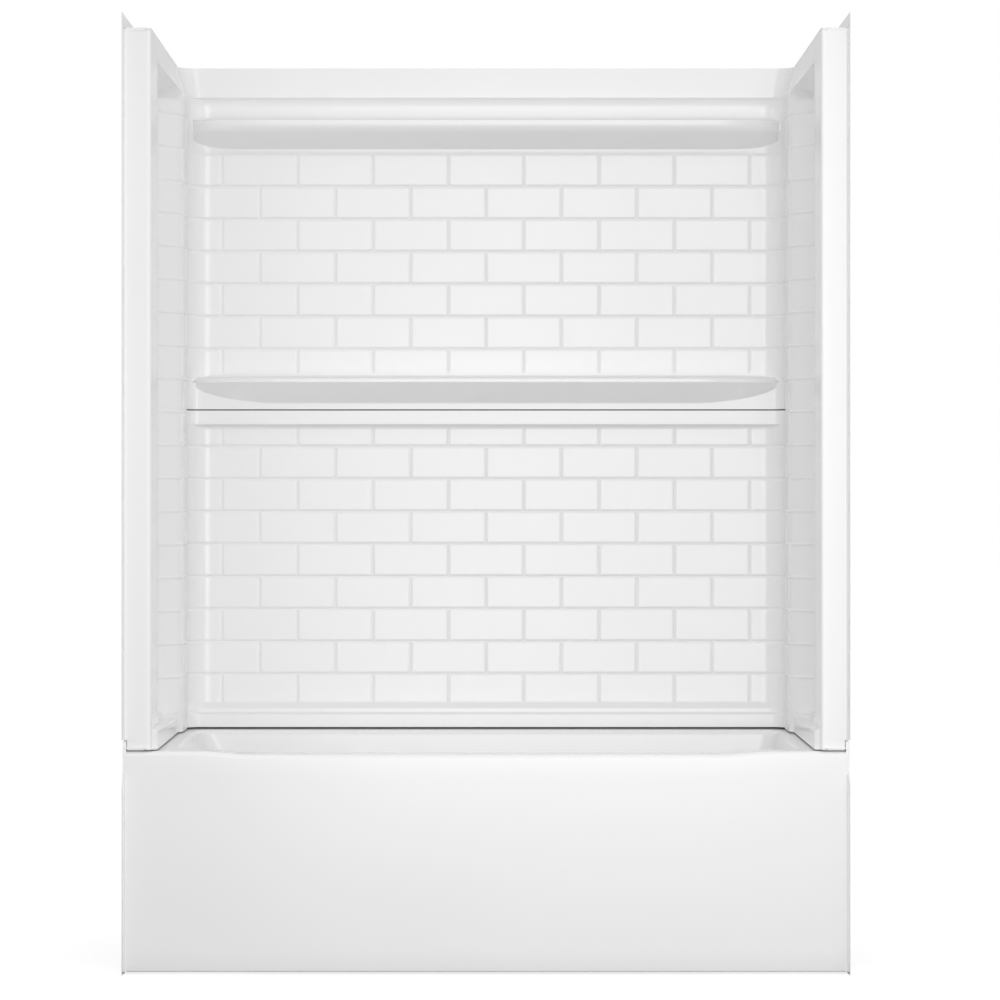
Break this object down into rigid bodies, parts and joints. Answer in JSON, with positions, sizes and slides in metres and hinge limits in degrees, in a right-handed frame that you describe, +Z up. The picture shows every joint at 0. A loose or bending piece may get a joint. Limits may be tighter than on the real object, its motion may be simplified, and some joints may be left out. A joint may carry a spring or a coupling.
{
  "type": "alcove bathtub kit",
  "caption": "White alcove bath with a smooth apron, a joined back wall with two bow-fronted shelves, and two end walls, all in moulded subway tile relief.",
  "frame": {"origin": "on the floor, under the middle of the kit's overall width and depth", "axes": "+Z up, -Y towards the open front with the apron, +X towards the drain end, at the right when seen from the front"},
  "size_m": [1.524, 0.813, 2.015],
  "materials": {
    "white_composite": "glossy solid white moulding compound",
    "plywood": "sawn plywood and softwood",
    "sealant": "matt sealant and foam strip",
    "zinc_steel": "zinc plated spring steel"
  },
  "bodies": {
    "root": {"bath_shell": "white_composite", "lower_back_wall": "white_composite", "upper_back_wall": "white_composite", "left_end_wall": "white_composite", "right_end_wall": "white_composite", "floor_board": "plywood", "floor_runner_front": "plywood", "floor_runner_middle": "plywood", "floor_runner_back": "plywood", "front_rim_board": "plywood", "left_apron_brace": "plywood", "right_apron_brace": "plywood", "back_sill_seal": "sealant", "mid_wall_seal": "sealant", "left_sill_seal": "sealant", "right_sill_seal": "sealant", "left_corner_seal": "sealant", "right_corner_seal": "sealant", "left_corner_clip_1": "zinc_steel", "right_corner_clip_1": "zinc_steel", "left_corner_clip_2": "zinc_steel", "right_corner_clip_2": "zinc_steel", "left_corner_clip_3": "zinc_steel", "right_corner_clip_3": "zinc_steel", "left_corner_clip_4": "zinc_steel", "right_corner_clip_4": "zinc_steel", "left_seam_clip": "zinc_steel", "middle_seam_clip": "zinc_steel", "right_seam_clip": "zinc_steel"}
  },
  "joints": []
}
